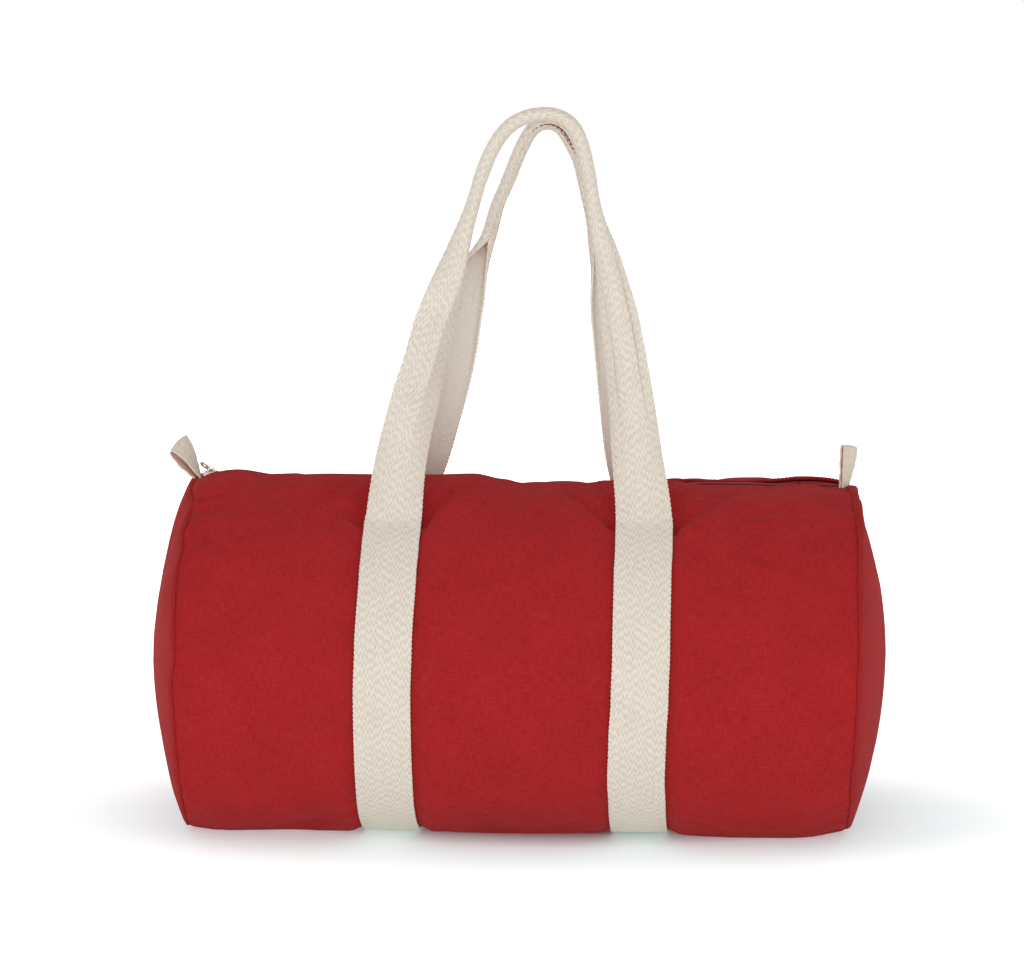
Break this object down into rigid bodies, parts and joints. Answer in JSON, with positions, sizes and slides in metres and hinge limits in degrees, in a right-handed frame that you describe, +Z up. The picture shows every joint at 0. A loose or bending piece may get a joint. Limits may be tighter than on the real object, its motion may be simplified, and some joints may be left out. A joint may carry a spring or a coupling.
{
  "type": "barrel bag",
  "caption": "Round-ended zipped canvas hold-all lying on its side, with webbing bands that go under the body and stand up as folded carrying handles, and a tape loop at each end of the zip.",
  "frame": {"origin": "on the floor under the middle of the bag", "axes": "+X along the bag to the right as seen from the front, +Y from front to back, +Z up"},
  "size_m": [0.4996, 0.2598, 0.4873],
  "materials": {
    "canvas": "fine plain-weave cotton canvas, matt",
    "webbing": "undyed cotton webbing, chunky weave, matt",
    "tab_tape": "undyed cotton twill tape, matt",
    "thread": "undyed sewing thread",
    "canvas_thread": "red sewing thread",
    "zip_tape": "red woven zip tape",
    "zip_teeth": "red nylon coil",
    "binding": "red seam binding",
    "slider_metal": "pale plated, satin"
  },
  "bodies": {
    "bag": {"body_panel": "canvas", "end_panel_left": "canvas", "end_panel_right": "canvas", "seam_binding_left": "binding", "seam_binding_right": "binding", "strap_left": "webbing", "strap_right": "webbing", "strap_stitches_front_left": "thread", "strap_stitches_front_right": "thread", "strap_stitches_back_left": "thread", "strap_stitches_back_right": "thread", "zip_tape_end_left_front": "zip_tape", "zip_tape_end_left_back": "zip_tape", "zip_tape_end_right_front": "zip_tape", "zip_tape_end_right_back": "zip_tape", "zip_teeth_end_left_front": "zip_teeth", "zip_teeth_end_left_back": "zip_teeth", "zip_teeth_end_right_front": "zip_teeth", "zip_teeth_end_right_back": "zip_teeth", "zip_topstitch_front": "canvas_thread", "zip_topstitch_back": "canvas_thread"},
    "front_handle": {"handle_front": "webbing", "grip_stitches_front": "thread"},
    "back_handle": {"handle_back": "webbing", "grip_stitches_back": "thread"},
    "front_zip_half": {"zip_tape_front": "zip_tape", "zip_teeth_front": "zip_teeth"},
    "back_zip_half": {"zip_tape_back": "zip_tape", "zip_teeth_back": "zip_teeth"},
    "slider": {"zip_slider": "slider_metal", "slider_bridge": "slider_metal"},
    "pull": {"zip_pull": "slider_metal"},
    "left_tab": {"tab_left": "tab_tape"},
    "right_tab": {"tab_right": "tab_tape"}
  },
  "joints": [
    {"name": "front_handle_fold", "type": "hinge", "parent": "bag", "child": "front_handle", "pos_m": [0, -0.06994, 0.21429], "axis": [1, 0, 0], "range_deg": [0, 115]},
    {"name": "back_handle_fold", "type": "hinge", "parent": "bag", "child": "back_handle", "pos_m": [0, 0.06994, 0.21429], "axis": [-1, 0, 0], "range_deg": [0, 115]},
    {"name": "front_zip_lift", "type": "hinge", "parent": "bag", "child": "front_zip_half", "pos_m": [0, -0.0138, 0.23148], "axis": [1, 0, -0.0095], "range_deg": [0, 80]},
    {"name": "back_zip_lift", "type": "hinge", "parent": "bag", "child": "back_zip_half", "pos_m": [0, 0.0138, 0.23148], "axis": [1, 0, -0.0095], "range_deg": [-80, 0]},
    {"name": "slider_run", "type": "slide", "parent": "bag", "child": "slider", "axis": [1, 0, -0.0095], "range_m": [0, 0.421]},
    {"name": "pull_swing", "type": "hinge", "parent": "slider", "child": "pull", "pos_m": [-0.2105, 0, 0.23768], "axis": [0, 1, 0], "range_deg": [-22, 120]},
    {"name": "left_tab_flop", "type": "hinge", "parent": "bag", "child": "left_tab", "pos_m": [-0.2226, 0, 0.2331], "axis": [0, 1, 0], "range_deg": [-18, 12]},
    {"name": "right_tab_flop", "type": "hinge", "parent": "bag", "child": "right_tab", "pos_m": [0.2226, 0, 0.22887], "axis": [0, 1, 0], "range_deg": [-26, 46]}
  ],
  "couplings": [
    {"joint": "back_zip_lift", "follows": "front_zip_lift", "ratio": -1}
  ]
}
